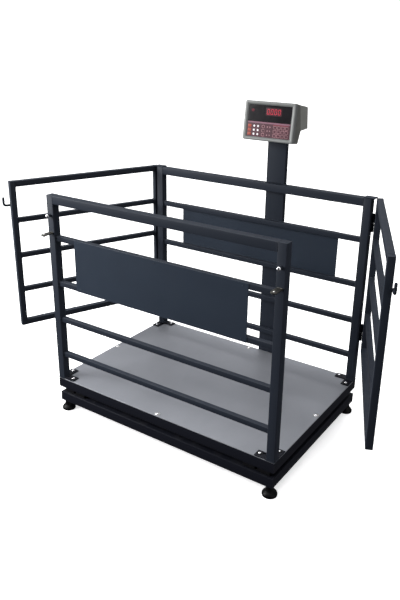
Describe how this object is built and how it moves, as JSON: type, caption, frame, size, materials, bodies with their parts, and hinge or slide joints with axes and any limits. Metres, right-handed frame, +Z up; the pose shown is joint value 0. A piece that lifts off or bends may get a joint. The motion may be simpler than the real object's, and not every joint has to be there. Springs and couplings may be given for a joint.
{
  "type": "animal weighing scale",
  "caption": "Veterinary platform scale: deck on load cells and levelling feet, fenced sides, swing gates at the ends, weight indicator on a column.",
  "frame": {"origin": "on the floor under the centre of the deck, within 10 mm of the middle of the whole object's box", "axes": "+X along the deck's length towards the right-hand gate, +Y towards the fence with the indicator column, +Z up"},
  "size_m": [2.0378, 0.9919, 1.5429],
  "materials": {
    "dark_paint": "dark blue-black powder coat over steel tube, satin",
    "deck_steel": "plain steel sheet, worn and slightly dull",
    "zinc_steel": "bright zinc-plated steel",
    "load_cell_metal": "machined nickel-plated steel beam",
    "foot_rubber": "black rubber, matt",
    "light_plastic": "pale grey-green moulded plastic",
    "dark_plastic": "dark olive-grey moulded plastic",
    "smoked_window": "smoked glossy plastic window",
    "keypad_film": "dark maroon membrane film",
    "circuit_board": "green board with components"
  },
  "bodies": {
    "base": {"base_frame": "dark_paint", "load_cell_front_left": "load_cell_metal", "load_cell_front_right": "load_cell_metal", "load_cell_back_left": "load_cell_metal", "load_cell_back_right": "load_cell_metal", "platform_frame": "dark_paint", "deck_plate": "deck_steel", "post_front_left": "dark_paint", "post_front_right": "dark_paint", "post_back_left": "dark_paint", "post_back_right": "dark_paint", "foot_bracket_front_left": "dark_paint", "foot_bracket_front_right": "dark_paint", "foot_bracket_back_left": "dark_paint", "foot_bracket_back_right": "dark_paint", "front_top_rail": "dark_paint", "front_lower_rail": "dark_paint", "front_middle_rail": "dark_paint", "front_sign_lower_rail": "dark_paint", "front_sign_upper_rail": "dark_paint", "front_sign_plate": "dark_paint", "back_top_rail": "dark_paint", "back_lower_rail": "dark_paint", "back_middle_rail": "dark_paint", "back_sign_lower_rail": "dark_paint", "back_sign_upper_rail": "dark_paint", "back_sign_plate": "dark_paint", "ball_stud_left": "zinc_steel", "post_tab_left": "zinc_steel", "ball_stud_right": "zinc_steel", "post_tab_right": "zinc_steel", "hinge_cap_left": "dark_paint", "hinge_cap_right": "dark_paint", "indicator_column": "dark_paint", "column_head_bracket": "dark_paint"},
    "foot_front_left": {"levelling_foot_front_left": "foot_rubber"},
    "foot_front_right": {"levelling_foot_front_right": "foot_rubber"},
    "foot_back_left": {"levelling_foot_back_left": "foot_rubber"},
    "foot_back_right": {"levelling_foot_back_right": "foot_rubber"},
    "gate_left": {"gate_left_hinge_stile": "dark_paint", "gate_left_free_stile": "dark_paint", "gate_left_top_rail": "dark_paint", "gate_left_bottom_rail": "dark_paint", "gate_left_lower_rail": "dark_paint", "gate_left_middle_rail": "dark_paint", "gate_left_upper_rail": "dark_paint", "gate_left_hook": "dark_paint"},
    "gate_right": {"gate_right_hinge_stile": "dark_paint", "gate_right_free_stile": "dark_paint", "gate_right_top_rail": "dark_paint", "gate_right_bottom_rail": "dark_paint", "gate_right_lower_rail": "dark_paint", "gate_right_middle_rail": "dark_paint", "gate_right_upper_rail": "dark_paint", "gate_right_hook": "dark_paint"},
    "indicator": {"indicator_bezel": "light_plastic", "indicator_housing": "dark_plastic", "display_window": "smoked_window", "keypad_panel": "keypad_film", "indicator_circuit_board": "circuit_board"}
  },
  "joints": [
    {"name": "gate_left_hinge", "type": "hinge", "parent": "base", "child": "gate_left", "pos_m": [-0.63075, 0.428, 0.7373], "axis": [0, 0, -1], "range_deg": [-22.9, 72.1]},
    {"name": "gate_right_hinge", "type": "hinge", "parent": "base", "child": "gate_right", "pos_m": [0.63075, 0.428, 0.7373], "axis": [0, 0, 1], "range_deg": [-22.9, 72.1]},
    {"name": "foot_front_left_screw", "type": "slide", "parent": "base", "child": "foot_front_left", "axis": [0, 0, -1], "range_m": [0, 0.015]},
    {"name": "foot_front_right_screw", "type": "slide", "parent": "base", "child": "foot_front_right", "axis": [0, 0, -1], "range_m": [0, 0.015]},
    {"name": "foot_back_left_screw", "type": "slide", "parent": "base", "child": "foot_back_left", "axis": [0, 0, -1], "range_m": [0, 0.015]},
    {"name": "foot_back_right_screw", "type": "slide", "parent": "base", "child": "foot_back_right", "axis": [0, 0, -1], "range_m": [0, 0.015]},
    {"name": "indicator_tilt", "type": "hinge", "parent": "base", "child": "indicator", "pos_m": [0.101, 0.4495, 1.3953], "axis": [1, 0, 0], "range_deg": [-15, 15]}
  ]
}
